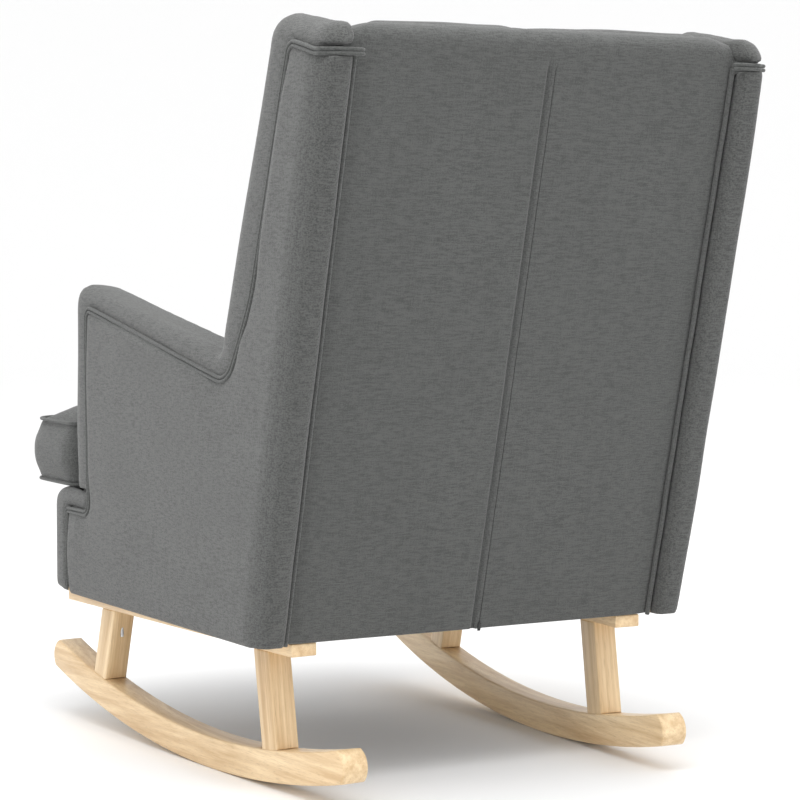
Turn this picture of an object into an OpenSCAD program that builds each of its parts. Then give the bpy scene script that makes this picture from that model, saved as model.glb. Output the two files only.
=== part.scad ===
// Upholstered wing armchair on two wooden rockers. Millimetres, +Z up, floor at z = 0.
// The sitter faces -Y, and "left" is the +X side.

/* [Overall] */
// Width across the two outside panels
body_w = 700; // [640:5:840]
// Height of the wing tops above the floor
overall_h = 1041; // [940:1:1250]
// Depth of the body at its underside, from front seam to back plane
body_d = 622; // [560:1:746]
// Height of the body's underside above the floor
body_z = 207; // [190:1:248]
// Recline of the back from upright, in degrees
recline = 14; // [11:0.5:17]

/* [Rockers and legs] */
// Radius of the rockers' rolling face
rocker_r = 1620; // [1350:10:1940]
// Height of a rocker's section
rocker_h = 45; // [38:1:54]
// Width of rockers and leg rails
rocker_w = 40; // [34:1:48]
// Sweep of a rocker ahead of its lowest point, in degrees
rocker_front = 17.5; // [16:0.5:20]
// Sweep of a rocker behind its lowest point, in degrees
rocker_rear = 12; // [11:0.5:14]
// Angle by which each side frame opens towards the front
toe_out = 3.5; // [0:0.5:4]
// Distance from the centre plane to a side frame's rear end
frame_x = 265; // [255:1:272]
// Width of a leg, across the chair
leg_w = 36; // [30:1:38]
// Depth of a leg, along the chair
leg_d = 41; // [36:1:49]
// Thickness of the leg rails
rail_t = 18; // [16:1:22]
// Length of the leg rails
rail_l = 674; // [640:1:720]

/* [Fixings] */
// Diameter of the dowels between leg and rocker
dowel_d = 10; // [8:1:12]
// Length of those dowels
dowel_l = 40; // [34:1:48]
// Diameter of the screws that hold rail to leg
screw_d = 5; // [4:0.5:6]
// Length of those screws
screw_l = 60; // [50:1:72]
// Diameter of the bolts that hold the rails to the body
bolt_d = 8; // [6:1:10]
// Height of the mounting blocks under the seat
block_h = 45; // [38:1:54]

/* [Body frame] */
// Thickness of the plywood side boards
board_t = 18; // [15:1:22]
// Thickness of front board, rear board and back rails
plank_t = 22; // [18:1:26]
// Depth of the back posts, front to rear
post_d = 60; // [50:1:72]
// Thickness of the webbing straps
web_t = 2; // [1.5:0.5:3]
// Width of the webbing straps
web_w = 60; // [50:1:72]
// Height of the seat frame's top edge above the underside
frame_h = 128; // [120:1:154]

/* [Upholstery] */
// Thickness of a padded arm
arm_t = 95; // [79:1:114]
// Thickness of a padded wing
wing_t = 75; // [64:1:88]
// Length of the arm padding ahead of the side panel's seam
arm_nose = 58; // [48:1:70]
// Depth of the wing padding ahead of the side panel's seam
wing_nose = 82; // [70:1:98]
// Thickness of the seat deck pad
deck_t = 33; // [28:1:40]
// Diameter of the piping cords
cord_d = 5.5; // [4:0.5:6.5]
// Thickness of the outside panels
cover_t = 4; // [3:0.5:5]
// Thickness of the back panel
back_t = 6; // [5:0.5:7]
// Bulge of the rear edge rolls behind the back panel
roll_bulge = 20; // [17:1:24]
// Width of the rear edge rolls
roll_w = 47; // [40:1:56]
// Height of the cushion between its two rows of piping
cushion_h = 94.7; // [80:0.1:114]
// Crown of the cushion above its upper piping
cushion_crown = 28; // [20:1:34]
// Reach of the cushion ahead of the front seam
cushion_nose = 177; // [150:1:212]

/* [Hidden] */

$fn = 48;
wood = "burlywood";
cloth = "dimgray";
big = 2000;
arc_steps = 5;
moving_gap = 0.3;
glue_gap = 0.05;

// Planes and heights of the body
half_w = body_w / 2;
cover_x = half_w - cover_t;
board_x = cover_x - board_t;
back_y = 287.5;
front_y = back_y - body_d;
rail_z = body_z - rail_t;
seat_frame_z = body_z + frame_h;
deck_z = seat_frame_z + web_t + deck_t;
lap = 6;
back_top_z = overall_h - 41;
function back_line(z) = back_y + (z - body_z) * tan(recline);

// Seam line of the outside panel, front bottom first and anticlockwise: [y, z, corner radius].
// Its bottom and rear edges run past the body and are trimmed off.
past = 200;
step_z = body_z + 129;
arm_y = front_y + 84;
arm_seam_z = body_z + 441;
arm_lean = 7;
valley_z = arm_seam_z - 92;
knee_z = arm_seam_z + 24;
wing_top_z = overall_h - 37;
wing_fall = 0.24;
cord_z = wing_top_z - 17;
valley_y = back_line(valley_z) - 152;
knee_y = back_line(knee_z) - 109;
wing_y = back_line(wing_top_z) - 81;
seam = [
    [front_y, body_z - past, 0],
    [back_y + 2 * past, body_z - past, 0],
    [back_y + 2 * past, cord_z, 0],
    [wing_y + (wing_top_z - cord_z) / wing_fall, cord_z, 80],
    [wing_y, wing_top_z, 18],
    [knee_y, knee_z, 260],
    [valley_y, valley_z, 50],
    [arm_y - arm_lean, arm_seam_z, 15],
    [arm_y, step_z, 18],
    [front_y, step_z, 5]];

// Side frames
rocker_mid = rocker_r - rocker_h / 2;
rocker_y = -225;
frame_y = 284.2;
rear_leg_y = -65;
rear_leg_lean = 0.165;
front_leg_y = -522;
front_leg_lean = -0.282;
bolt_y = [-480, -140];
head_h = 5;
washer_t = 1.6;
sink = head_h + washer_t + 0.4;
nut_flange_t = 1.5;
nut_barrel = 9;

// Upholstery
arm_crest_r = 28;
arm_front_y = arm_y - arm_nose - arm_lean;
arm_top_z = arm_seam_z + 29;
arm_fall = 0.169;
arm_rear_y = valley_y - 67;
arm_shoulder_z = valley_z + 24;
wing_r = wing_t / 2;
wing_lean = 0.373;
wing_in = half_w - wing_t;
wing_rear = 25.4;
crest_fall = 0.165;
arm_in = half_w - arm_t;
roll_x = half_w - roll_w;
roll_r = roll_w * 0.34;
roll_taper = 12;
roll_start = 20;
roll_out = half_w - roll_taper;
pad_front = front_y - 65;
pad_low_t = 186;
pad_high_t = 150;
pad_low_y = back_line(deck_z) - pad_low_t;
pad_high_y = back_line(back_top_z) - pad_high_t;
pad_rise = (pad_high_y - pad_low_y) / (back_top_z - deck_z);

// Cushion
bulge = 14;
cushion_z = deck_z + moving_gap;
welt_z = cushion_z + cushion_h;
nose_y = front_y - cushion_nose + bulge;
ear_x = half_w - 1 - bulge;
ear_y = arm_front_y - 5 - bulge;
seat_x = arm_in - 3 - bulge;
seat_rear_y = pad_low_y - 9;
band = [cushion_h * 0.36, cushion_h * 0.65];
zip_half = seat_x - 48;
slider_l = 14;

// Back zip, in the back's own frame
zip_x = -9;
zip_w = 9;
zip_deep = 4;
zip_tape_t = 1;
zip_l = (back_top_z - body_z) / cos(recline) - 20;

// ---------- Outline helpers ----------
function unit(v) = v / norm(v);
function at(p, k) = p[(k + len(p)) % len(p)];
function flat(q) = [q[0], q[1]];
function heading(p, k) = unit(flat(at(p, k + 1)) - flat(at(p, k)));
function spin(v, t) = [cos(t) * v[0] - sin(t) * v[1], sin(t) * v[0] + cos(t) * v[1]];
function outward(v) = [v[1], -v[0]];

// Corner k of outline p, moved outwards by d
function corner(p, k, d) =
    let (na = outward(heading(p, k - 1)), nb = outward(heading(p, k)))
    flat(at(p, k)) + d * (na + nb) / (1 + na * nb);

// The same corner as an arc
function fillet(p, k, d) =
    let (a = heading(p, k - 1), b = heading(p, k), turn = atan2(cross(a, b), a * b),
         side = sign(turn), r = at(p, k)[2] == 0 ? 0 : max(at(p, k)[2] + side * d, 0.5),
         start = corner(p, k, d) - a * r * tan(abs(turn) / 2),
         centre = start - side * r * outward(a), steps = r == 0 ? 0 : arc_steps)
    [for (i = [0 : steps]) centre + side * r * spin(outward(a), steps == 0 ? 0 : turn * i / steps)];

function rounded(p, d = 0) = [for (k = [0 : len(p) - 1]) each fillet(p, k, d)];
function reversed(v) = [for (i = [len(v) - 1 : -1 : 0]) v[i]];

// An outline in the side view, extruded across the chair
module slab(x0, x1, outline) {
    translate([x0, 0, 0])
        rotate([90, 0, 90])
            linear_extrude(x1 - x0)
                polygon(outline);
}

module block(x0, x1, y0, y1, z0, z1) {
    translate([x0, y0, z0])
        cube([x1 - x0, y1 - y0, z1 - z0]);
}

module back_frame() {
    translate([0, back_y, body_z])
        rotate([-recline, 0, 0])
            children();
}

module side_frame() {
    translate([frame_x, frame_y, 0])
        rotate([0, 0, toe_out])
            children();
}

module both_sides() {
    children();
    mirror([1, 0, 0])
        children();
}

// Tube through points, each given as [point, first normal of its ring]
function ring(path, i, sides, closed) =
    let (n = len(path), p = path[i][0],
         q0 = closed ? at(path, i - 1)[0] : path[max(i - 1, 0)][0],
         q1 = closed ? at(path, i + 1)[0] : path[min(i + 1, n - 1)][0],
         t = unit(q1 - q0), u = path[i][1], v = cross(t, u))
    [for (k = [0 : sides - 1])
        p + cord_d / 2 * (cos(360 * k / sides) * u + sin(360 * k / sides) * unit(v))];

module tube(path, sides = 8, closed = false) {
    n = len(path);
    points = [for (i = [0 : n - 1]) each ring(path, i, sides, closed)];
    rows = closed ? n : n - 1;
    skin = [for (i = [0 : rows - 1]) for (k = [0 : sides - 1])
        let (a = i * sides, b = ((i + 1) % n) * sides, k1 = (k + 1) % sides)
        [a + k, a + k1, b + k1, b + k]];
    ends = closed ? [] : [
        [for (k = [sides - 1 : -1 : 0]) k],
        [for (k = [0 : sides - 1]) (n - 1) * sides + k]];
    polyhedron(points, concat(skin, ends), convexity = 10);
}

// ---------- Rockers, legs and rails ----------
module rocker() {
    color(wood)
        side_frame()
            translate([-rocker_w / 2, rocker_y, rocker_r])
                rotate([0, 90, 0])
                    rocker_sweep();
}

module rocker_sweep() {
    spare = 1.5;
    difference() {
        rotate([0, 0, -rocker_front - spare])
            rotate_extrude(angle = rocker_front + rocker_rear + 2 * spare, $fn = 720)
                translate([rocker_r - rocker_h, 0])
                    square([rocker_h, rocker_w]);
        rocker_nose(-rocker_front, -1);
        rocker_nose(rocker_rear, 1);
        for (leg = [[front_leg_y, front_leg_lean], [rear_leg_y, rear_leg_lean]])
            rotate([0, -90, 0])
                translate([rocker_w / 2, -rocker_y, -rocker_r])
                    leg_dowels(leg[0], leg[1], dowel_d / 2 + glue_gap);
    }
}

// What is cut away round a rocker's blunt nose
module rocker_nose(turn, side) {
    nose_r = rocker_h * 0.58;
    reach = 3 * rocker_h;
    rotate([0, 0, turn])
        translate([rocker_mid, side * (rocker_h / 2 - nose_r), -1])
            difference() {
                translate([-rocker_h, side > 0 ? 0 : -reach, 0])
                    cube([2 * rocker_h, reach, rocker_w + 2]);
                translate([0, 0, -1])
                    cylinder(r = nose_r, h = rocker_w + 4);
            }
}

function arc_z(y, r) = rocker_r - sqrt(r * r - pow(y - rocker_y, 2));
// Centre of a leg's foot, where its slanting axis meets the rocker's upper face
function foot_y(top_y, lean) =
    let (z0 = arc_z(top_y, rocker_r - rocker_h)) top_y - leg_d / 2 + lean * (rail_z - z0);

module leg(top_y, lean) {
    drop = rail_z - 30;
    far = lean * drop;
    color(wood)
        side_frame()
            difference() {
                intersection() {
                    slab(-leg_w / 2, leg_w / 2, [
                        [top_y - leg_d, rail_z], [top_y - leg_d + far, rail_z - drop],
                        [top_y + far, rail_z - drop], [top_y, rail_z]]);
                    translate([-leg_w, rocker_y, rocker_r])
                        rotate([0, 90, 0])
                            cylinder(r = rocker_r - rocker_h, h = 2 * leg_w, $fn = 720);
                }
                leg_dowels(top_y, lean, dowel_d / 2 + glue_gap);
                rail_screws(top_y);
            }
}

module leg_dowels(top_y, lean, r) {
    y = foot_y(top_y, lean);
    for (s = [-1, 1])
        translate([0, y + s * leg_d / 4, arc_z(y + s * leg_d / 4, rocker_r - rocker_h) - dowel_l / 2])
            cylinder(r = r, h = dowel_l);
}

// Two screws through the rail into the top of a leg
module rail_screws(top_y) {
    for (s = [-1, 1])
        translate([0, top_y - leg_d / 2 + s * leg_d / 4, body_z]) {
            translate([0, 0, -screw_l])
                cylinder(r = screw_d / 2, h = screw_l);
            translate([0, 0, -screw_d * 0.6])
                cylinder(r1 = screw_d / 2, r2 = screw_d, h = screw_d * 0.6);
        }
}

module leg_rail() {
    color(wood)
        side_frame()
            difference() {
                block(-rocker_w / 2, rocker_w / 2, -rail_l, 0, rail_z, body_z);
                rail_screws(front_leg_y);
                rail_screws(rear_leg_y);
                for (y = bolt_y)
                    translate([0, y, rail_z - 1]) {
                        cylinder(r = bolt_d / 2 + 0.5, h = rail_t + 2);
                        cylinder(r = bolt_d * 1.25, h = sink + 1);
                    }
            }
}

module rocker_dowels() {
    color("tan")
        both_sides()
            side_frame() {
                leg_dowels(front_leg_y, front_leg_lean, dowel_d / 2);
                leg_dowels(rear_leg_y, rear_leg_lean, dowel_d / 2);
            }
}

module leg_screws() {
    color("silver")
        both_sides()
            side_frame() {
                rail_screws(front_leg_y);
                rail_screws(rear_leg_y);
            }
}

module at_bolts() {
    both_sides()
        side_frame()
            for (y = bolt_y)
                translate([0, y, rail_z])
                    children();
}

module frame_bolts() {
    head_z = sink - washer_t - head_h;
    color("silver")
        at_bolts()
            difference() {
                union() {
                    translate([0, 0, head_z])
                        cylinder(r = bolt_d * 0.85, h = head_h);
                    translate([0, 0, head_z])
                        cylinder(r = bolt_d / 2, h = rail_t + block_h + nut_flange_t - head_z);
                }
                translate([0, 0, head_z - 1])
                    cylinder(r = bolt_d * 0.36, h = head_h * 0.6 + 1, $fn = 6);
            }
}

module bolt_washers() {
    color("silver")
        at_bolts()
            translate([0, 0, sink - washer_t])
                difference() {
                    cylinder(r = bolt_d * 1.1, h = washer_t);
                    translate([0, 0, -1])
                        cylinder(r = bolt_d / 2 + 0.3, h = washer_t + 2);
                }
}

module tee_nuts() {
    color("silver")
        at_bolts()
            translate([0, 0, rail_t + block_h - nut_barrel])
                difference() {
                    union() {
                        cylinder(r = bolt_d / 2 + 1.2, h = nut_barrel);
                        translate([0, 0, nut_barrel])
                            cylinder(r = bolt_d * 1.25, h = nut_flange_t);
                    }
                    translate([0, 0, -1])
                        cylinder(r = bolt_d / 2 + glue_gap, h = nut_barrel + nut_flange_t + 2);
                }
}

// Blocks glued to the side boards, drilled for the bolts
module mount_blocks() {
    color(wood)
        both_sides()
            for (y = bolt_y)
                difference() {
                    bolt_block(y);
                    side_frame()
                        translate([0, y, rail_z]) {
                            cylinder(r = bolt_d / 2 + 0.5, h = big);
                            translate([0, 0, rail_t + block_h - nut_barrel])
                                cylinder(r = bolt_d / 2 + 1.2 + glue_gap, h = big);
                        }
                }
}

module bolt_block(y) {
    centre_y = frame_y + y * cos(toe_out);
    block(frame_x - 25, board_x, centre_y - 35, centre_y + 35, body_z, body_z + block_h);
}

// ---------- Seat frame ----------
module seat_front_board() {
    color(wood)
        block(-cover_x, cover_x, front_y - lap - plank_t, front_y - lap, body_z, seat_frame_z);
}

module seat_rear_board() {
    inner = board_x - plank_t;
    color(wood)
        block(-inner, inner, back_y - 10 - plank_t, back_y - 10, body_z, seat_frame_z);
}

module seat_side_rail() {
    top = seat_frame_z - web_t;
    color(wood)
        difference() {
            block(board_x - plank_t, board_x, front_y - lap, back_line(top) - post_d / 2, top - 60, top);
            post_solid();
        }
}

module seat_cross_webbing() {
    first = front_y + web_w;
    pitch = web_w * 1.6;
    color("saddlebrown")
        for (y = [first : pitch : back_y - post_d - web_w - 40])
            block(-board_x, board_x, y, y + web_w, seat_frame_z - web_t, seat_frame_z);
}

module seat_long_webbing() {
    color("saddlebrown")
        for (x = [-180, -60, 60, 180])
            block(x - web_w / 2, x + web_w / 2, front_y - lap - plank_t, back_y - 10,
                  seat_frame_z, seat_frame_z + web_t);
}

module deck_pad() {
    color("gainsboro")
        block(-board_x, board_x, front_y - lap, back_line(seat_frame_z) - post_d - 12,
              seat_frame_z + web_t, deck_z);
}

module dust_cover() {
    inner = frame_x - 26;
    color("black")
        block(-inner, inner, front_y - lap - plank_t, back_y - 10, body_z - 1, body_z);
}

// ---------- Sides ----------
// Everything above the underside and ahead of a plane parallel to the back
module trim_rear(y) {
    intersection() {
        children();
        block(-big, big, -big, big, body_z, big);
        back_frame()
            block(-big, big, -big, y, -past, big);
    }
}

module side_board() {
    color(wood)
        trim_rear(-back_t)
            slab(board_x, cover_x, rounded(seam, lap));
}

module side_cover() {
    color(cloth)
        trim_rear(-roll_start)
            slab(cover_x, half_w, rounded(seam, -lap));
}

// Rounded arm: a hull of balls under the crest and round posts below
module arm_form() {
    r = arm_crest_r;
    xs = [arm_in + r, half_w - r];
    rear_z = arm_top_z - arm_fall * (arm_rear_y - arm_front_y) - r;
    hull() {
        for (x = xs) {
            translate([x, arm_front_y + r, arm_top_z - r])
                sphere(r, $fn = 24);
            translate([x, arm_rear_y, rear_z])
                sphere(r, $fn = 24);
            translate([x, arm_front_y + r, deck_z])
                cylinder(r = r, h = 1, $fn = 24);
        }
        for (z = [deck_z, arm_shoulder_z])
            block(arm_in, half_w, back_line(z) - post_d - 60, back_line(z) - post_d, z, z + 1);
    }
}

module wing_form() {
    r = wing_r;
    x = half_w - r;
    low_z = valley_z - 16;
    high_z = overall_h - r;
    front = wing_y - wing_nose + (high_z - wing_top_z) * wing_lean;
    rear_y = back_line(high_z) + wing_rear - r;
    tilt = r / cos(atan(wing_lean));
    hull() {
        translate([x, front + tilt, high_z])
            sphere(r, $fn = 24);
        translate([x, front + tilt - wing_lean * (high_z - low_z), low_z])
            sphere(r, $fn = 24);
        translate([x, rear_y, high_z - crest_fall * (rear_y - front - tilt)])
            sphere(r, $fn = 24);
        block(wing_in, half_w, back_line(low_z) - post_d - 8, back_line(low_z) - post_d, low_z - r, low_z);
    }
}

module arm_pad() {
    top = cord_z + lap;
    color(cloth)
        difference() {
            union() {
                arm_form();
                wing_form();
            }
            slab(board_x, half_w + 2, rounded(seam, lap));
            post_solid();
            back_rail_space();
            intersection() {
                back_frame()
                    block(0, big, -back_t, big, -past, big);
                block(0, big, -big, big, 0, top);
            }
        }
}

// Room for the back rails and webbing, which stay inside the posts
module back_rail_space() {
    intersection() {
        back_frame()
            block(0, board_x, -post_d - back_t - web_t, big, -past, big);
        block(0, board_x - plank_t, -big, big, 0, back_top_z);
    }
}

module rear_edge_pad() {
    section = [
        [roll_x, -back_t, 0], [cover_x, -back_t, 0], [cover_x, -roll_start, 0],
        [half_w, -roll_start, 0], [half_w - 2, -back_t, 20],
        [roll_out, roll_bulge, roll_r], [roll_x, roll_bulge, roll_r * 0.8]];
    color(cloth)
        intersection() {
            block(0, big, -big, big, body_z, cord_z - lap);
            back_frame()
                translate([0, 0, -past])
                    linear_extrude(big)
                        polygon(rounded(section));
        }
}

// Side piping: up the front, over the arm, up the wing and round the rear edge roll
function side_run(d) = concat(
    [[front_y - d, body_z]],
    [for (k = [len(seam) - 1 : -1 : 3]) each reversed(fillet(seam, k, d))]);

function side_normals(run) = [for (i = [0 : len(run) - 1])
    let (t = unit(run[min(i + 1, len(run) - 1)] - run[max(i - 1, 0)]))
    [[half_w - cord_d * 0.22, run[i][0], run[i][1]], [0, t[1], -t[0]]]];

function roll_run(d) =
    let (r = roll_r - cord_d * 0.22, y = back_line(cord_z) + roll_bulge - roll_r)
    concat(
        [for (t = [15 : 25 : 90])
            [[roll_out - roll_r + r * cos(t), y + r * sin(t), cord_z + d], [0, 0, -1]]],
        [for (t = [90 : 20 : 150])
            [[roll_x + roll_r + r * cos(t), y + r * sin(t), cord_z + d], [0, 0, -1]]]);

module side_piping() {
    step = cord_d / 2 + 0.05;
    color("slategray")
        for (d = [-step, step])
            tube(concat(side_normals(side_run(d)), roll_run(d)));
}

// ---------- Front pad ----------
module front_pad() {
    r = 25;
    rear = front_y - lap;
    color(cloth)
        difference() {
            union() {
                hull() {
                    block(-half_w, half_w, rear - 1, rear, body_z + 2, deck_z);
                    for (x = [-half_w + r, half_w - r]) {
                        translate([x, pad_front + r, deck_z - r])
                            sphere(r, $fn = 24);
                        translate([x, pad_front + r, body_z + 2])
                            cylinder(r = r, h = 1, $fn = 24);
                    }
                }
                both_sides()
                    block(board_x, half_w, rear, arm_y - lap, step_z + lap, deck_z);
            }
            block(-cover_x, cover_x, rear - plank_t, big, 0, seat_frame_z);
            block(-board_x, board_x, rear - plank_t, big, 0, seat_frame_z + web_t);
            both_sides()
                slab(board_x, half_w + 2, rounded(seam, lap));
        }
}

// ---------- Back ----------
module post_solid() {
    intersection() {
        back_frame()
            block(board_x - plank_t, board_x, -back_t - post_d, -back_t, -past, big);
        block(0, big, -big, big, body_z, back_top_z);
    }
}

module back_post() {
    color(wood)
        post_solid();
}

module back_rail(low, high) {
    inner = board_x - plank_t;
    color(wood)
        intersection() {
            back_frame()
                block(-inner, inner, -back_t - post_d, -back_t - post_d + plank_t, -past, big);
            block(-inner, inner, -big, big, low, high);
        }
}

module back_top_rail() {
    back_rail(back_top_z - 60, back_top_z);
}

module back_lower_rail() {
    back_rail(deck_z + 40, deck_z + 100);
}

module back_webbing() {
    color("saddlebrown")
        intersection() {
            back_frame()
                for (x = [-180, -60, 60, 180])
                    block(x - web_w / 2, x + web_w / 2, -back_t - post_d - web_t,
                          -back_t - post_d, -past, big);
            block(-big, big, -big, big, deck_z + 40, back_top_z);
        }
}

module back_pad() {
    rear = (back_t + post_d + web_t) / cos(recline);
    crown = 27;
    outline = [
        [pad_low_y, deck_z, 0], [back_line(deck_z) - rear, deck_z, 0],
        [back_line(back_top_z) - rear, back_top_z, 0], [back_line(back_top_z), back_top_z, 0],
        [back_line(back_top_z + crown), back_top_z + crown, 20],
        [pad_high_y + crown * pad_rise, back_top_z + crown, 40]];
    shoulder = arm_top_z - 40;
    color(cloth)
        difference() {
            slab(-wing_in, wing_in, rounded(outline));
            both_sides()
                block(arm_in, half_w, -big, big, 0, shoulder);
        }
}

module back_cover() {
    color(cloth)
        intersection() {
            back_frame()
                difference() {
                    block(-roll_x, roll_x, -back_t, 0, -past, big);
                    block(zip_x, zip_x + zip_w, -zip_deep, 1, -past, zip_l);
                }
            block(-big, big, -big, big, body_z, back_top_z);
        }
}

module back_zip_tape() {
    color("dimgray")
        intersection() {
            back_frame()
                block(zip_x, zip_x + zip_w, -zip_deep, -zip_deep + zip_tape_t, -past, zip_l);
            block(-big, big, -big, big, body_z, big);
        }
}

module back_zip_slider() {
    x0 = zip_x + moving_gap;
    x1 = zip_x + zip_w - moving_gap;
    y0 = -zip_deep + zip_tape_t + moving_gap;
    color("dimgray")
        back_frame() {
            block(x0, x1, y0, 0.5, 2, 2 + slider_l);
            block(x0 + 2, x1 - 2, 0.5, 2, -6, 6);
        }
}

// ---------- Cushion ----------
cushion_bar = [[-ear_x, nose_y, 40], [ear_x, nose_y, 40], [ear_x, ear_y, 20], [-ear_x, ear_y, 20]];
cushion_seat = [
    [-seat_x, nose_y, 40], [seat_x, nose_y, 40],
    [seat_x, seat_rear_y, 25], [-seat_x, seat_rear_y, 25]];
cushion_tee = [
    [-ear_x, nose_y, 40], [ear_x, nose_y, 40], [ear_x, ear_y, 20], [seat_x, ear_y, 8],
    [seat_x, seat_rear_y, 25], [-seat_x, seat_rear_y, 25], [-seat_x, ear_y, 8], [-ear_x, ear_y, 20]];

module layer(outline, d, z) {
    translate([0, 0, z])
        linear_extrude(0.2)
            polygon(rounded(outline, d));
}

// One convex half of the cushion, shrunk all round by inset
module pillow(outline, inset) {
    hull() {
        layer(outline, -inset, cushion_z + inset);
        layer(outline, bulge - inset, cushion_z + band[0]);
        layer(outline, bulge - inset, cushion_z + band[1]);
        layer(outline, -inset, welt_z - inset);
        layer(outline, -60, welt_z + cushion_crown - inset - 0.2);
    }
}

module cushion_form(inset) {
    pillow(cushion_bar, inset);
    pillow(cushion_seat, inset);
}

module cushion_cover() {
    color(cloth)
        difference() {
            cushion_form(0);
            cushion_form(2);
        }
}

module cushion_core() {
    color("lemonchiffon")
        cushion_form(2);
}

module cushion_piping() {
    r = cord_d / 2;
    loops = [[r * 0.84, welt_z + r * 0.84], [r * 1.42, cushion_z + r]];
    color("slategray")
        for (loop = loops)
            tube([for (p = rounded(cushion_tee, loop[0])) [[p[0], p[1], loop[1]], [0, 0, 1]]],
                 closed = true);
}

module cushion_zip_tape() {
    rear = seat_rear_y + bulge;
    middle = cushion_z + (band[0] + band[1]) / 2;
    color("dimgray")
        block(-zip_half, zip_half, rear, rear + zip_tape_t, middle - 10, middle + 10);
}

module cushion_zip_slider() {
    rear = seat_rear_y + bulge + zip_tape_t + moving_gap;
    middle = cushion_z + (band[0] + band[1]) / 2;
    color("dimgray")
        block(-zip_half, -zip_half + slider_l, rear, rear + 2.5, middle - 4, middle + 4);
}

module right() {
    mirror([1, 0, 0])
        children();
}

rocker();  // rocker_left
right() rocker();  // rocker_right
leg(front_leg_y, front_leg_lean);  // front_leg_left
right() leg(front_leg_y, front_leg_lean);  // front_leg_right
leg(rear_leg_y, rear_leg_lean);  // rear_leg_left
right() leg(rear_leg_y, rear_leg_lean);  // rear_leg_right
leg_rail();  // leg_rail_left
right() leg_rail();  // leg_rail_right
rocker_dowels();
leg_screws();
frame_bolts();
bolt_washers();
tee_nuts();
mount_blocks();
seat_front_board();
seat_rear_board();
seat_side_rail();  // seat_side_rail_left
right() seat_side_rail();  // seat_side_rail_right
seat_cross_webbing();
seat_long_webbing();
deck_pad();
dust_cover();
side_board();  // side_board_left
right() side_board();  // side_board_right
side_cover();  // side_cover_left
right() side_cover();  // side_cover_right
arm_pad();  // arm_pad_left
right() arm_pad();  // arm_pad_right
rear_edge_pad();  // rear_edge_pad_left
right() rear_edge_pad();  // rear_edge_pad_right
side_piping();  // side_piping_left
right() side_piping();  // side_piping_right
back_post();  // back_post_left
right() back_post();  // back_post_right
back_top_rail();
back_lower_rail();
back_webbing();
back_pad();
back_cover();
back_zip_tape();
back_zip_slider();
front_pad();
cushion_cover();
cushion_core();
cushion_piping();
cushion_zip_tape();
cushion_zip_slider();
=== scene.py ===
import math

import bmesh
import bpy
from mathutils import Matrix, Vector, kdtree, noise


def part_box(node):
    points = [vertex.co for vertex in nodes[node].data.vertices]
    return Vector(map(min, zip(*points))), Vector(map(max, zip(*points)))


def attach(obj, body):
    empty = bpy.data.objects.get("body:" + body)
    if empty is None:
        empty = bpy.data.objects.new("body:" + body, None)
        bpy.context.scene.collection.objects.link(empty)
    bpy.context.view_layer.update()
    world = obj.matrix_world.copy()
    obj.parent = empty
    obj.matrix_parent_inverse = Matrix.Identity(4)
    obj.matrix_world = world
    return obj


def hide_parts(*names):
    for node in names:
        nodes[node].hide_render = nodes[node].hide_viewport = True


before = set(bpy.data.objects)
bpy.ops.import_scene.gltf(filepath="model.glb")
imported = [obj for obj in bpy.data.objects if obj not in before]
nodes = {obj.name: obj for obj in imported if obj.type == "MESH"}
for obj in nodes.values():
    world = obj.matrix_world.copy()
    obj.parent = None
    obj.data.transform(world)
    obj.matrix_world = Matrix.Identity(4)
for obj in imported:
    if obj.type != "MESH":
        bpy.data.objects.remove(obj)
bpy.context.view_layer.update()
scene = bpy.context.scene


def limited(value):
    """A value held between 0 and 1."""
    return min(1, max(0, value))


def eased(value):
    """A value held between 0 and 1, which starts and ends gently."""
    share = limited(value)
    return share * share * (3 - 2 * share)


# ---------- Camera, floor and light ----------
# A long lens looks at the chair's left rear from a little above its arms.
# The chair stands in a round white cove, open at the top, under a wide soft lamp and a
# faint one from its left.
view_line = Vector((-0.4984, -0.8645, -0.0645)).normalized()
view_right = Vector((-0.8664, 0.4994, 0.0004)).normalized()
view_up = view_right.cross(view_line)
lens = bpy.data.cameras.new("camera")
lens.lens = 117.4
lens.sensor_width = 36
camera = bpy.data.objects.new("camera", lens)
turn = Matrix((view_right, view_up, -view_line)).transposed().to_4x4()
camera.matrix_world = Matrix.Translation((1.8973, 3.3742, 0.7622)) @ turn
scene.collection.objects.link(camera)
scene.camera = camera
scene.view_settings.view_transform = "Standard"

sky = bpy.data.worlds.new("sky")
scene.world = sky
sky.use_nodes = True
sky_shader = sky.node_tree.nodes["Background"]
sky_shader.inputs["Color"].default_value = (1.0, 1.0, 1.0, 1)
sky_shader.inputs["Strength"].default_value = 1.07

lamp_aim = Vector((0, 0, 0.5))
for lamp_name, place, width, watts in [
    ("top_lamp", (0.6, 0.8, 3.4), 2.6, 76),
    ("side_lamp", (4.2, 1.6, 1.9), 2.4, 4),
]:
    lamp = bpy.data.lights.new(lamp_name, "AREA")
    lamp.size = width
    lamp.energy = watts
    lamp_object = bpy.data.objects.new(lamp_name, lamp)
    lamp_object.location = place
    lamp_object.rotation_euler = (lamp_aim - Vector(place)).to_track_quat("-Z", "Y").to_euler()
    scene.collection.objects.link(lamp_object)

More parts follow.
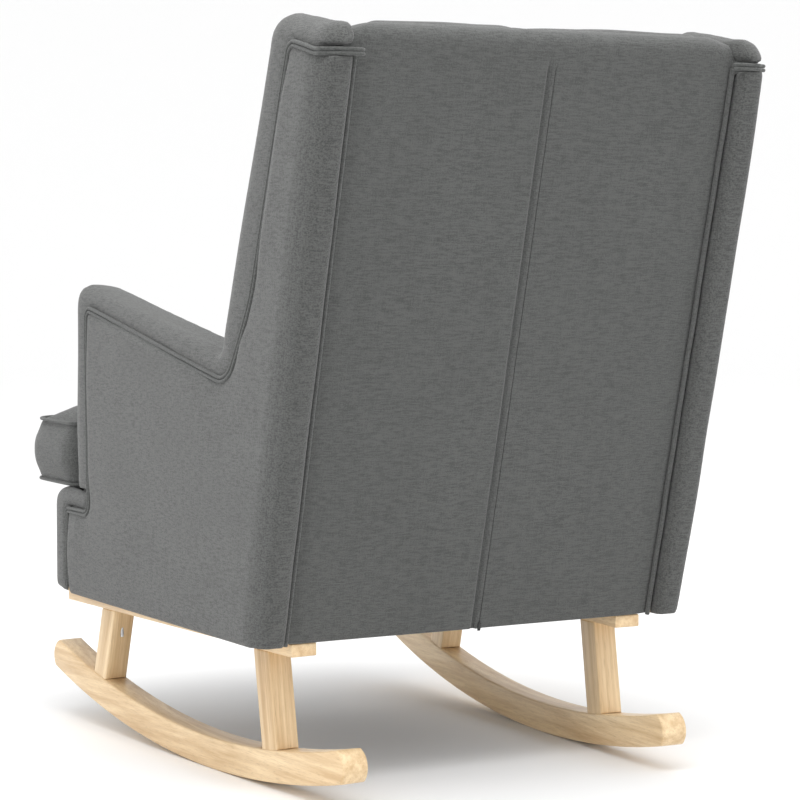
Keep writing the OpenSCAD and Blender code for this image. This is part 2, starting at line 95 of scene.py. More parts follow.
cove_width = 13.0
cove_bend = 3.0
cove = bmesh.new()
spoke = [cove.verts.new((0, 0, 0)), cove.verts.new((cove_width - cove_bend, 0, 0))]
cove.edges.new(spoke)
bmesh.ops.spin(
    cove, geom=spoke[1:], cent=(cove_width - cove_bend, 0, cove_bend), axis=(0, -1, 0),
    angle=math.radians(80), steps=12, use_duplicate=False)
bmesh.ops.spin(
    cove, geom=cove.edges[:] + cove.verts[:], cent=(0, 0, 0), axis=(0, 0, 1),
    angle=2 * math.pi, steps=64, use_merge=True)
bmesh.ops.remove_doubles(cove, verts=cove.verts, dist=1e-4)
bmesh.ops.recalc_face_normals(cove, faces=cove.faces)
for face in cove.faces:
    face.smooth = True
floor_mesh = bpy.data.meshes.new("floor")
cove.to_mesh(floor_mesh)
cove.free()
floor = bpy.data.objects.new("floor", floor_mesh)
scene.collection.objects.link(floor)
floor_paint = bpy.data.materials.new("floor_paint")
floor_paint.use_nodes = True
floor_shader = floor_paint.node_tree.nodes["Principled BSDF"]
floor_shader.inputs["Base Color"].default_value = (0.93, 0.93, 0.93, 1)
floor_shader.inputs["Roughness"].default_value = 0.9
floor.data.materials.append(floor_paint)


# ---------- Rockers ----------
# Two curved runners of pale solid hardwood, sawn to a 1.62 m radius from straight-grained
# plank, with blunt rounded noses. All edges are eased by hand and lacquered in clear satin.
def node_of(tree, kind, inputs=(), **settings):
    """One shader node; an input is a value or another node's output. Gives its outputs."""
    made = tree.nodes.new("ShaderNode" + kind)
    for key, value in settings.items():
        setattr(made, key, value)
    for key, value in dict(inputs).items():
        if isinstance(value, bpy.types.NodeSocket):
            tree.links.new(value, made.inputs[key])
        else:
            made.inputs[key].default_value = value
    return made.outputs


def new_group(name, inputs, outputs):
    """An empty shader node group with named sockets, its tree and its input sockets."""
    group = bpy.data.node_groups.new(name, "ShaderNodeTree")
    for socket, kind, value in inputs:
        made = group.interface.new_socket(socket, in_out="INPUT", socket_type="NodeSocket" + kind)
        if value is not None:
            made.default_value = value
    for socket, kind in outputs:
        group.interface.new_socket(socket, in_out="OUTPUT", socket_type="NodeSocket" + kind)
    return group, group.nodes.new("NodeGroupInput").outputs


def close_group(group, **results):
    """Joins the results to the outputs of a node group."""
    last = group.nodes.new("NodeGroupOutput")
    for socket, value in results.items():
        group.links.new(value, last.inputs[socket])


def stretched_noise(tree, vector, scale, detail=2.0, roughness=0.5):
    """Noise whose grains are 1/scale metres long along each axis."""
    wide = node_of(tree, "Mapping", {"Vector": vector, "Scale": scale}, vector_type="POINT")
    return node_of(tree, "TexNoise", {
        "Vector": wide["Vector"], "Scale": 1.0, "Detail": detail, "Roughness": roughness})["Fac"]


def scaled(tree, value, low, high, out_low, out_high):
    """A value's range low to high stretched to another range, and held within it."""
    return node_of(tree, "MapRange", {
        "Value": value, "From Min": low, "From Max": high,
        "To Min": out_low, "To Max": out_high})["Result"]


def maths(tree, operation, first, second=0.5):
    """One sum of two values."""
    return node_of(tree, "Math", {0: first, 1: second}, operation=operation)["Value"]


def mixed(tree, mask, first, second):
    """Colour mix of two colours by a mask."""
    return node_of(tree, "Mix", {0: mask, 6: first, 7: second}, data_type="RGBA")[2]


def grain_group():
    """Straight grain along Z: growth bands, darker latewood lines and fine open pores."""
    group, given = new_group("wood_grain", [
        ("Vector", "Vector", None), ("Light", "Color", (0.7, 0.5, 0.3, 1)),
        ("Dark", "Color", (0.5, 0.33, 0.18, 1))],
        [("Color", "Color"), ("Roughness", "Float"), ("Height", "Float")])
    vector = given["Vector"]
    bands = scaled(group, stretched_noise(group, vector, (75, 75, 2.2), 4, 0.6), 0.32, 0.68, 0, 1)
    latewood = stretched_noise(group, vector, (260, 260, 3.5), 3, 0.65)
    lines = scaled(group, latewood, 0.48, 0.72, 0, 1)
    pores = scaled(group, stretched_noise(group, vector, (1100, 1100, 38), 2), 0.56, 0.72, 0, 1)
    patches = scaled(group, stretched_noise(group, vector, (9, 9, 3), 2), 0.3, 0.7, 0, 1)
    base = mixed(group, bands, given["Light"], given["Dark"])
    lined = mixed(group, scaled(group, lines, 0, 1, 0, 0.6), base, given["Dark"])
    pored = mixed(group, scaled(group, pores, 0, 1, 0, 0.38), lined, (0.30, 0.17, 0.08, 1))
    toned = mixed(group, scaled(group, patches, 0, 1, 0, 0.22), pored, given["Light"])
    rough = scaled(group, lines, 0, 1, 0.36, 0.47)
    height = maths(group, "ADD", lines, pores)
    close_group(group, Color=toned, Roughness=rough, Height=scaled(group, height, 0, 2, 1, 0))
    return group


wood_grain = grain_group()


def bare_material(name):
    """A material with just its Principled shader, its node tree and that shader."""
    material = bpy.data.materials.new(name)
    material.use_nodes = True
    tree = material.node_tree
    return material, tree, tree.nodes["Principled BSDF"]


def own_coords(tree, tilt=None):
    """A piece's own coordinates in metres, turned by a tilt if it is given."""
    coords = node_of(tree, "TexCoord")["Object"]
    if tilt is None:
        return coords
    return node_of(tree, "Mapping", {"Vector": coords, "Rotation": tilt},
                   vector_type="TEXTURE")["Vector"]


def use_group(tree, group, **inputs):
    """A node group in a shader tree, with its inputs. Gives its outputs."""
    return node_of(tree, "Group", inputs, node_tree=group)


def wire_finish(tree, shader, color, rough, height, depth, strength=1.0):
    """Feeds a colour, a roughness and a relief of some depth in metres to a shader."""
    tree.links.new(color, shader.inputs["Base Color"])
    tree.links.new(rough, shader.inputs["Roughness"])
    bump = node_of(tree, "Bump", {"Height": height, "Distance": depth, "Strength": strength})
    tree.links.new(bump["Normal"], shader.inputs["Normal"])


def lacquered_wood(name, tilt, light=(0.90, 0.70, 0.44, 1), dark=(0.57, 0.37, 0.18, 1)):
    """Clear satin lacquer over straight grain; tilt turns the grain from Z to its length."""
    material, tree, shader = bare_material(name)
    turned = own_coords(tree, tilt)
    grain = use_group(tree, wood_grain, Vector=turned, Light=light, Dark=dark)
    wire_finish(tree, shader, grain["Color"], grain["Roughness"], grain["Height"], 0.00012, 0.6)
    shader.inputs["Coat Weight"].default_value = 0.12
    shader.inputs["Coat Roughness"].default_value = 0.3
    return material


def merged_copy(node):
    """A bmesh of a CAD node with its loose triangles merged and its flat faces joined up."""
    made = bmesh.new()
    made.from_mesh(nodes[node].data)
    bmesh.ops.remove_doubles(made, verts=made.verts, dist=2e-5)
    bmesh.ops.dissolve_limit(
        made, angle_limit=math.radians(0.2), verts=made.verts, edges=made.edges)
    return made


def piece_from(made, name, material, body, slot, stands_for=(), sharp=40):
    """Turns a bmesh into a piece of the chair and ties it to its CAD body; the slot is not used.
    """
    for face in made.faces:
        face.smooth = True
    mesh = bpy.data.meshes.new(name)
    made.to_mesh(mesh)
    made.free()
    mesh.set_sharp_from_angle(angle=math.radians(sharp))
    mesh.materials.clear()
    mesh.materials.append(material)
    piece = bpy.data.objects.new(name, mesh)
    scene.collection.objects.link(piece)
    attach(piece, body)
    if stands_for:
        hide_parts(*stands_for)
    return piece


def ease_edges(made, width, shortest, segments=3):
    """Rounds the long sharp edges of a sawn piece."""
    arrises = [edge for edge in made.edges
               if len(edge.link_faces) == 2 and edge.calc_length() > shortest
               and edge.calc_face_angle(0) > math.radians(35)]
    bmesh.ops.bevel(
        made, geom=arrises, offset=width, offset_type="OFFSET", segments=segments,
        profile=0.5, affect="EDGES", clamp_overlap=True, material=-1)


along_y = (math.radians(90), 0, 0)
rocker_wood = lacquered_wood("rocker_wood", along_y)
for side in ("left", "right"):
    runner = merged_copy("rocker_" + side)
    ease_edges(runner, 0.0028, 0.002)
    piece_from(runner, f"runner_{side}", rocker_wood, "chair", "natural_wood", [f"rocker_{side}"])


# ---------- Legs ----------
# Four square-sectioned solid legs of the same wood, front ones raked forwards and rear ones
# a little back. Each stands on a rocker on two dowels, and two screws hold it to its rail.
front_leg_wood = lacquered_wood("front_leg_wood", (math.radians(-16), 0, 0))
rear_leg_wood = lacquered_wood("rear_leg_wood", (math.radians(9), 0, 0))
for side in ("left", "right"):
    for end, leg_wood in (("front", front_leg_wood), ("rear", rear_leg_wood)):
        leg = merged_copy(f"{end}_leg_{side}")
        ease_edges(leg, 0.0025, 0.02)
        piece_from(leg, f"{end}_post_{side}", leg_wood, "chair", "natural_wood",
                   [f"{end}_leg_{side}"])


# ---------- Leg rails ----------
# Two flat rails of the same wood run along under the seat and carry the legs.
# They are bolted up through the mounting blocks, with the heads sunk into the underside.
rail_wood = lacquered_wood("rail_wood", along_y, (0.88, 0.68, 0.42, 1), (0.64, 0.43, 0.23, 1))
for side in ("left", "right"):
    rail = merged_copy(f"leg_rail_{side}")
    ease_edges(rail, 0.002, 0.012)
    piece_from(rail, f"foot_rail_{side}", rail_wood, "chair", "natural_wood", [f"leg_rail_{side}"])


# ---------- Dowels, screws, bolts, washers and tee nuts ----------
# Fluted beech dowels, and zinc-plated steel fixings with fine drawn lines and dull patches.
# They keep the shape they have in the frame.
def plated_steel():
    """Zinc plating: drawn lines under a cloudy grey bloom."""
    material, tree, shader = bare_material("plated_steel")
    coords = own_coords(tree)
    cloud = stretched_noise(tree, coords, (90, 90, 90), 3)
    drawn = stretched_noise(tree, coords, (2600, 2600, 120), 2)
    color = mixed(tree, scaled(tree, cloud, 0.35, 0.65, 0, 1),
                  (0.62, 0.63, 0.64, 1), (0.48, 0.49, 0.50, 1))
    wire_finish(tree, shader, color, scaled(tree, cloud, 0.3, 0.7, 0.28, 0.5), drawn, 0.00003, 0.5)
    shader.inputs["Metallic"].default_value = 1.0
    return material


def finish_nodes(material, *names):
    """Gives a material to CAD nodes that keep their shape."""
    for name in names:
        mesh = nodes[name].data
        mesh.materials.clear()
        mesh.materials.append(material)


finish_nodes(plated_steel(), "leg_screws", "frame_bolts", "bolt_washers", "tee_nuts")
finish_nodes(lacquered_wood("dowel_wood", (0, 0, 0)), "rocker_dowels")


# ---------- Body frame ----------
# Sawn softwood boards, rails, posts and glued blocks, and plywood side boards cut to the
# profile of arm and wing. All of it is covered, and seen only from below or with a cover off.
def sawn_wood(name, tilt, light, dark):
    """Bare wood with furrows from the saw; tilt turns the grain from Z to its length."""
    material, tree, shader = bare_material(name)
    turned = own_coords(tree, tilt)
    grain = use_group(tree, wood_grain, Vector=turned, Light=light, Dark=dark)
    furrows = stretched_noise(tree, turned, (900, 900, 60), 2)
    rough = scaled(tree, furrows, 0.3, 0.7, 0.72, 0.9)
    wire_finish(tree, shader, grain["Color"], rough, furrows, 0.0003, 0.6)
    return material


along_x = (0, math.radians(90), 0)
pine = ((0.72, 0.55, 0.34, 1), (0.56, 0.38, 0.20, 1))
pine_across = sawn_wood("pine_across", along_x, *pine)
finish_nodes(pine_across, "seat_rear_board", "back_top_rail", "back_lower_rail")
finish_nodes(sawn_wood("pine_lengthwise", along_y, *pine),
             "seat_side_rail_left", "seat_side_rail_right", "mount_blocks")
finish_nodes(sawn_wood("pine_upright", (math.radians(-14), 0, 0), *pine),
             "back_post_left", "back_post_right")
plywood = sawn_wood("plywood_face", along_y, (0.74, 0.58, 0.38, 1), (0.66, 0.49, 0.30, 1))
planed_off = 0.0025


def covered_board(node, name, material, slot):
    """A board planed a little under size, so that the cloth pulled over it hides it."""
    board = merged_copy(node)
    board.normal_update()
    corners = [(vert, vert.normal * (planed_off * vert.calc_shell_factor()))
               for vert in board.verts]
    for vert, inset in corners:
        vert.co -= inset
    piece_from(board, name, material, "chair", slot, [node])


for side in ("left", "right"):
    covered_board(f"side_board_{side}", f"ply_side_{side}", plywood, "plywood")
covered_board("seat_front_board", "front_rail_board", pine_across, "frame_wood")


# ---------- Webbing ----------
# Woven elastic straps, 60 mm wide, stretched across the seat and up the back and stapled down.
# Dark brown warp ribs with lighter rubber threads between them.
def strap_webbing(name, rib_axis):
    """Ribbed elastic strap, its ribs following one another along an axis."""
    material, tree, shader = bare_material(name)
    coords = own_coords(tree)
    ribs = node_of(tree, "TexWave", {"Vector": coords, "Scale": 130.0, "Distortion": 0.4},
                   wave_type="BANDS", bands_direction=rib_axis)["Fac"]
    picks = stretched_noise(tree, coords, (500, 500, 500), 1)
    color = mixed(tree, ribs, (0.10, 0.06, 0.04, 1), (0.26, 0.17, 0.10, 1))
    wire_finish(tree, shader, color, scaled(tree, picks, 0.3, 0.7, 0.75, 0.95), ribs, 0.0004, 0.7)
    return material


finish_nodes(strap_webbing("webbing_across", "Y"), "seat_cross_webbing")
finish_nodes(strap_webbing("webbing_lengthwise", "X"), "seat_long_webbing", "back_webbing")


# ---------- Outside panels ----------
# A fabric panel on each side, stretched over a thin pad on the plywood and drawn in under the
# piping all round. Grey linen-look cloth with thick and thin threads both ways.
def linen_group():
    """Cloth woven along the three axes: slubs both ways, threads, and slow changes of tone."""
    group, given = new_group("linen_weave", [
        ("Vector", "Vector", None), ("Pale", "Color", (0.25, 0.25, 0.25, 1)),
        ("Deep", "Color", (0.1, 0.1, 0.1, 1)), ("Pitch", "Float", 0.0014)],
        [("Color", "Color"), ("Roughness", "Float"), ("Height", "Float")])
    vector = given["Vector"]
    slubs = []
    for scale, most in (((70, 560, 560), 1.4), ((560, 70, 560), 1.4), ((560, 560, 60), 0.5)):
        streaks = stretched_noise(group, vector, scale, 2, 0.6)
        slubs.append(scaled(group, streaks, 0.3, 0.7, 0, most))
    slub = maths(group, "ADD", maths(group, "ADD", slubs[0], slubs[1]), slubs[2])
    slub = scaled(group, slub, 0.95, 2.1, 0, 1)
    frequency = maths(group, "DIVIDE", 2 * math.pi, given["Pitch"])
    apart = node_of(group, "SeparateXYZ", {"Vector": vector})
    waves = []
    for axis in "XYZ":
        waves.append(maths(group, "SINE", maths(group, "MULTIPLY", apart[axis], frequency)))
    weave = maths(group, "ADD", maths(group, "ADD", waves[0], waves[1]), waves[2])
    threads = scaled(group, weave, -2.4, 2.4, 0, 1)
    tone = scaled(group, stretched_noise(group, vector, (7, 7, 7), 3), 0.3, 0.7, 0, 1)
    color = mixed(group, slub, given["Deep"], given["Pale"])
    color = mixed(group, scaled(group, threads, 0, 1, 0.30, 0), color, given["Deep"])
    color = mixed(group, scaled(group, tone, 0, 1, 0, 0.10), color, given["Pale"])
    both = maths(group, "ADD", slub, threads)
    close_group(group, Color=color, Roughness=scaled(group, slub, 0, 1, 0.96, 0.84),
                Height=scaled(group, both, 0, 2, 0, 1))
    return group


linen_weave = linen_group()


def woven_cloth(name, pale, deep, tilt=(0, 0, 0), pitch=0.0014, depth=0.0006):
    """Linen-look cloth; tilt lays its threads along the piece, and pitch sets them apart."""
    material, tree, shader = bare_material(name)
    turned = own_coords(tree, tilt)
    weave = use_group(tree, linen_weave, Vector=turned, Pale=pale, Deep=deep, Pitch=pitch)
    wire_finish(tree, shader, weave["Color"], weave["Roughness"], weave["Height"], depth, 0.75)
    shader.inputs["Sheen Weight"].default_value = 0.25
    shader.inputs["Sheen Roughness"].default_value = 0.5
    shader.inputs["Specular IOR Level"].default_value = 0.25
    return material


side_cloth = woven_cloth("side_cloth", (0.113, 0.116, 0.112, 1), (0.054, 0.055, 0.054, 1))
panel_puff = 0.0035
trough = 0.0062


def border_tree(points):
    """The places of some points, ready for finding the nearest."""
    tree = kdtree.KDTree(len(points))
    for index, point in enumerate(points):
        tree.insert(point, index)
    tree.balance()
    return tree


def node_spots(node):
    """The corners of a CAD node, ready for finding the nearest."""
    return border_tree([vert.co.copy() for vert in nodes[node].data.vertices])


def worn_down(skin, verts, rounds):
    """Smooths some of a skin's corners, a number of times."""
    for _ in range(rounds):
        bmesh.ops.smooth_vert(
            skin, verts=verts, factor=0.5, use_axis_x=True, use_axis_y=True, use_axis_z=True)


def soft_start(sources, voxel, rounds, shrink=0.0):
    """The CAD solids of a pad as one even skin, its hard edges worn down."""
    joined = bmesh.new()
    for node in sources:
        joined.from_mesh(nodes[node].data)
    bmesh.ops.remove_doubles(joined, verts=joined.verts, dist=2e-5)
    mesh = bpy.data.meshes.new("skin")
    joined.to_mesh(mesh)
    joined.free()
    solid = bpy.data.objects.new("skin", mesh)
    scene.collection.objects.link(solid)
    even = solid.modifiers.new("even", "REMESH")
    even.mode = "VOXEL"
    even.voxel_size = voxel
    skin = bmesh.new()
    skin.from_object(solid, bpy.context.evaluated_depsgraph_get())
    bpy.data.objects.remove(solid)
    worn_down(skin, skin.verts, rounds)
    if shrink:
        skin.normal_update()
        for vert in skin.verts:
            vert.co -= vert.normal * shrink
    skin.normal_update()
    return skin


panel_voxel = 0.0045
swell_reach, ripple_reach, ripple_size = 0.045, 0.03, 0.0010
hem_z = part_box("side_cover_left")[0].z
for side, sign in (("left", 1), ("right", -1)):
    panel = soft_start(
        [f"side_cover_{side}", f"side_board_{side}", f"rear_edge_pad_{side}"], panel_voxel, 1)
    seam_spots = node_spots(f"side_piping_{side}")
    outside_x = max(sign * vert.co.x for vert in panel.verts)
    for vert in panel.verts:
        inward = max(0, min(seam_spots.find(vert.co)[2] - trough, vert.co.z - hem_z))
        face_out = max(0.0, sign * vert.normal.x)
        swell = panel_puff * (1 - math.exp(-inward / swell_reach)) * face_out
        wave = noise.noise(vert.co * 9 + Vector((sign, 0, 0)))
        ripple = wave * ripple_size * min(1, inward / ripple_reach)
        if sign * vert.co.x > outside_x - 0.03 or vert.normal.y > 0.3:
            vert.co += vert.normal * (swell + ripple)
    piece = piece_from(panel, f"outside_panel_{side}", side_cloth, "chair", "grey_cloth",
                       [f"side_cover_{side}", f"rear_edge_pad_{side}"], sharp=180)


# ---------- Arms and wings ----------
# Thick foam over the board, rounded in front and on top, covered in one piece of the same
# cloth that is stitched to the outside panel along the piping.
def stuffed(skin, cap, pressure=4.0, held=None):
    """Swells a skin by cloth pressure, outwards and no further than cap, and gives it back."""
    skin.normal_update()
    rest = [vert.co.copy() for vert in skin.verts]
    mesh = bpy.data.meshes.new("stuffing")
    skin.to_mesh(mesh)
    bag = bpy.data.objects.new("stuffing", mesh)
    scene.collection.objects.link(bag)
    cloth = bag.modifiers.new("cloth", "CLOTH")
    cloth.settings.use_pressure = True
    cloth.settings.uniform_pressure_force = pressure
    cloth.settings.effector_weights.gravity = 0
    if held is not None:
        pinned = bag.vertex_groups.new(name="held")
        pinned.add([index for index, point in enumerate(rest) if held(point)], 1.0, "REPLACE")
        cloth.settings.vertex_group_mass = "held"
    for moment in range(1, 21):
        scene.frame_set(moment)
    swollen = bag.evaluated_get(bpy.context.evaluated_depsgraph_get()).data
    moved = [vert.co.copy() for vert in swollen.vertices]
    scene.frame_set(1)
    bpy.data.objects.remove(bag)
    for vert, start, end in zip(skin.verts, rest, moved):
        vert.co = start + vert.normal * min(cap, max(0.0, (end - start).dot(vert.normal)))
    return skin


def finer(piece, levels=1):
    """Subdivides a piece, the same on screen and in the render."""
    rounder = piece.modifiers.new("rounder", "SUBSURF")
    rounder.levels = rounder.render_levels = levels
    return piece


def walled(piece, thickness, offset):
    """Gives a single sheet its thickness, on one side of it."""
    wall = piece.modifiers.new("wall", "SOLIDIFY")
    wall.thickness = thickness
    wall.offset = offset
    return piece


arm_voxel = 0.0065
board_out, board_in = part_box("side_cover_left")[0].x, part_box("side_board_left")[0].x
arm_skin = soft_start(["arm_pad_left", "side_board_left"], arm_voxel, 2, 0.002)
flat_spots = border_tree([
    vert.co.copy() for vert in arm_skin.verts if abs(vert.normal.x) > 0.9
    and min(abs(vert.co.x - board_out), abs(vert.co.x - board_in)) < 0.003])
arm_skin = stuffed(arm_skin, 0.005, held=lambda point: flat_spots.find(point)[2] < 0.004)
pad_low, pad_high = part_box("arm_pad_left")
crest_front, crest_drop, crest_end_y = 0.677, 0.090, 0.165
crown_share = 0.72
nose_y = pad_high.y - 0.055
valley_x = 0.306
wing_shoulder_z, nose_z = 0.990, 0.984
for vert in arm_skin.verts:
    x, y, z = vert.co
    along = limited((y - pad_low.y) / (crest_end_y - pad_low.y))
    crest = crest_front - crest_drop * along
    above = eased((z - crest + 0.030) / 0.026)
    above *= limited((0.235 - y) / 0.05) * limited((crest + 0.05 - z) / 0.03)
    inside = limited(1 - (x - pad_low.x) / ((pad_high.x - pad_low.x) * crown_share))
    vert.co.z += above * (0.008 - 0.016 * along - 0.015 * inside ** 2 * (1 - 0.6 * along))
    behind = limited((y - nose_y) / 0.03)
    if x < valley_x:
        vert.co.x += behind * (valley_x - x) * 0.9 * limited((1.03 - z) / 0.02)
    vert.co.z += eased((z - wing_shoulder_z) / 0.026) * (0.005 + 0.002 * behind)
nose = [vert for vert in arm_skin.verts if vert.co.z > nose_z and vert.co.y > nose_y - 0.02]
worn_down(arm_skin, nose, 3)
arm_mesh = bpy.data.meshes.new("arm_skin")
arm_skin.to_mesh(arm_mesh)
arm_skin.free()
for side, sign in (("left", 1), ("right", -1)):
    arm = bmesh.new()
    arm.from_mesh(arm_mesh)
    if sign < 0:
        bmesh.ops.scale(arm, vec=(-1, 1, 1), verts=arm.verts)
        bmesh.ops.recalc_face_normals(arm, faces=arm.faces)
    for vert in arm.verts:
        crease = noise.noise(Vector((vert.co.x * 4 + sign, vert.co.y * 26, vert.co.z * 5)))
        top = limited((vert.co.z - 0.93) / 0.07)
        vert.co += vert.normal * (crease * 0.0016 * top + noise.noise(vert.co * 7) * 0.0010)
    piece = piece_from(arm, f"arm_and_wing_{side}", side_cloth, "chair", "grey_cloth",
                       [f"arm_pad_{side}"], sharp=180)


# ---------- Side piping ----------
# Two 5.5 mm cords side by side, each covered in a bias-cut strip of the cloth and sewn into
# the seam round the outside panel and round the top of the rear roll.
piping_cloth = woven_cloth("piping_cloth", (0.100, 0.104, 0.100, 1), (0.058, 0.060, 0.058, 1),
                           (math.radians(45), math.radians(30), 0), 0.0011, 0.0003)


def round_cord(node, name, body):
    """The cords of a CAD node, made round."""
    cords = bmesh.new()
    cords.from_mesh(nodes[node].data)
    bmesh.ops.remove_doubles(cords, verts=cords.verts, dist=1e-6)
    flats = [edge for edge in cords.edges if edge.calc_face_angle(9) < math.radians(0.05)]
    bmesh.ops.dissolve_edges(cords, edges=flats, use_verts=False, use_face_split=False)
    piece = piece_from(cords, name, piping_cloth, body, "piping_cloth", [node], sharp=180)
    return finer(piece, 2)


to_valley = 0.017
for side in ("left", "right"):
    cords = round_cord(f"side_piping_{side}", f"double_piping_{side}", "chair")
    for vert in cords.data.vertices:
        inner = limited((0.330 - abs(vert.co.x)) / 0.014) * limited((vert.co.z - 0.965) / 0.012)
        vert.co.x -= math.copysign(to_valley * inner, vert.co.x)


# ---------- Front border ----------
# The padded front of the seat box, rounded over at the top, with its ends carried round to
# the side panels.
front = stuffed(soft_start(["front_pad", "seat_front_board"], 0.0065, 2, 0.001), 0.005)
piece = piece_from(front, "front_border", side_cloth, "chair", "grey_cloth",
                   ["front_pad"], sharp=180)
finer(piece)


# ---------- Seat deck ----------
# A flat felt and foam pad over the webbing, under the loose cushion, in a plain lining cloth.
deck_cloth = woven_cloth("deck_cloth", (0.10, 0.104, 0.10, 1), (0.055, 0.058, 0.056, 1))
deck_wave = 0.0012
deck = soft_start(["deck_pad"], 0.009, 3)
for vert in deck.verts:
    vert.co.z += (noise.noise(vert.co * 8) - 1) * deck_wave
piece = piece_from(deck, "seat_deck", deck_cloth, "chair", "foam", ["deck_pad"], sharp=180)
finer(piece)


# ---------- Inside back ----------
# Deep foam and fibre between the wings, reclined with the posts and rounded over at the top.
recline = math.radians(14)
back_cloth = woven_cloth("back_cloth", (0.107, 0.110, 0.107, 1), (0.063, 0.065, 0.063, 1),
                         (-recline, 0, 0))
inside = stuffed(soft_start(["back_pad"], 0.0085, 4, 0.003), 0.011)
for vert in inside.verts:
    vert.co += vert.normal * noise.noise(vert.co * 6) * 0.0016
piece = piece_from(inside, "inside_back", back_cloth, "chair", "grey_cloth",
                   ["back_pad"], sharp=180)
finer(piece)


# ---------- Outside back ----------
# One width of cloth over a thin pad, from the hem up the back and forwards over the top roll
# without a seam. A concealed zip runs up its middle under a narrow flap.
cover_low, cover_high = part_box("back_cover")
tape_low, tape_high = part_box("back_zip_tape")
pad_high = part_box("back_pad")[1]
hem = Vector((0, 0.2875, cover_low.z))
up_back = Vector((0, math.sin(recline), math.cos(recline)))
out_back = Vector((0, math.cos(recline), -math.sin(recline)))
slit_x, crease_x = tape_low.x, tape_high.x
zip_top = (tape_high.z - hem.z) / up_back.z
roll_radius = 0.022
roll_angle = math.pi / 2 + recline
cloth_top = pad_high.z + 0.0015
wide, narrow = cover_high.x + 0.005, pad_high.x + 0.027
neck_z = 0.994
turn_height = (cloth_top - roll_radius * (1 + math.sin(recline)) - hem.z) / up_back.z


def back_line_point(run):
    """Point and outward direction of the outside back, a run in metres up from the hem."""
    if run < turn_height:
        return hem + up_back * run, out_back
    centre = hem + up_back * turn_height - out_back * roll_radius
    angle = (run - turn_height) / roll_radius
    swing = min(angle, roll_angle)
    out = out_back * math.cos(swing) + up_back * math.sin(swing)
    point = centre + out * roll_radius
    if angle > roll_angle:
        ahead = (angle - roll_angle) * roll_radius
        point = point + Vector((0, -1, 0)) * ahead + Vector((0, 0, -1)) * ahead * ahead * 1.6
    return point, out


def zip_relief(x, run):
    """Height of the cloth beside the zip: a soft crease, the raised flap and the open slit."""
    if run > zip_top + 0.004:
        return 0.0
    fade = limited((zip_top + 0.004 - run) / 0.006)
    crease = -0.0034 * math.exp(-((x - crease_x - 0.0015) / 0.0028) ** 2)
    flap = 0.0012 if slit_x + 0.0012 < x < crease_x else 0.0
    beside = 0.0010 * math.exp(-max(0, x - crease_x) / 0.012) if x > crease_x + 0.004 else 0.0
    return fade * (crease + flap + beside)


slit_width = 0.0013
column_half, column_step, zip_zone = 0.3, 0.012, 0.026
columns = sorted(
    {round(-column_half + column_step * i, 5) for i in range(51)
     if abs(-column_half + column_step * i) > zip_zone}
    | {round(crease_x + 0.001 * i, 5) for i in range(0, 14)}
    | {slit_x + slit_width, slit_x + 0.0018, slit_x + 0.0030, slit_x + 0.0045, slit_x + 0.0065}
    | {slit_x, slit_x - 0.0004, slit_x - 0.0030, slit_x - 0.008, slit_x - 0.015})
cover_run = turn_height + roll_radius * roll_angle + 0.05
row_count = 96
rows = [cover_run * i / row_count for i in range(row_count + 1)]
cover = bmesh.new()
bmesh.ops.create_grid(cover, x_segments=len(columns) - 1, y_segments=len(rows) - 1, size=1)
for vert in cover.verts:
    column = round((vert.co.x + 1) / 2 * (len(columns) - 1))
    row = round((vert.co.y + 1) / 2 * (len(rows) - 1))
    run = rows[row]
    point, out = back_line_point(run)
    squeeze = limited((point.z - neck_z) / 0.010)
    half = wide + (narrow - wide) * eased(squeeze)
    x = columns[column]
    if abs(x) > zip_zone:
        x *= half / column_half
    edge = half - abs(x)
    lift = zip_relief(x, run) - 0.0042 * math.exp(-max(0, edge - 0.004) / 0.008) * (1 - squeeze)
    shoulder = limited((abs(x) - 0.258) / 0.035)
    lift -= 0.008 * shoulder * shoulder * limited((run - turn_height + 0.012) / 0.02)
    lift += 0.0009 * noise.noise(Vector((x * 7, run * 5, 0.3))) * min(1, edge / 0.04)
    lift += 0.0020 * (1 - math.exp(-edge / 0.05)) - 0.0015
    vert.co = point + Vector((x, 0, 0)) + out * lift
slit = [face for face in cover.faces
        if slit_x - 1e-4 < face.calc_center_median().x < slit_x + slit_width
        and face.calc_center_median().z < hem.z + up_back.z * zip_top]
bmesh.ops.delete(cover, geom=slit, context="FACES")
bmesh.ops.recalc_face_normals(cover, faces=cover.faces)
if sum(face.normal.dot(out_back) for face in cover.faces) < 0:
    bmesh.ops.reverse_faces(cover, faces=cover.faces)
piece = piece_from(cover, "outside_back", back_cloth, "chair", "grey_cloth",
                   ["back_cover"], sharp=180)
finer(walled(piece, 0.0016, -1))


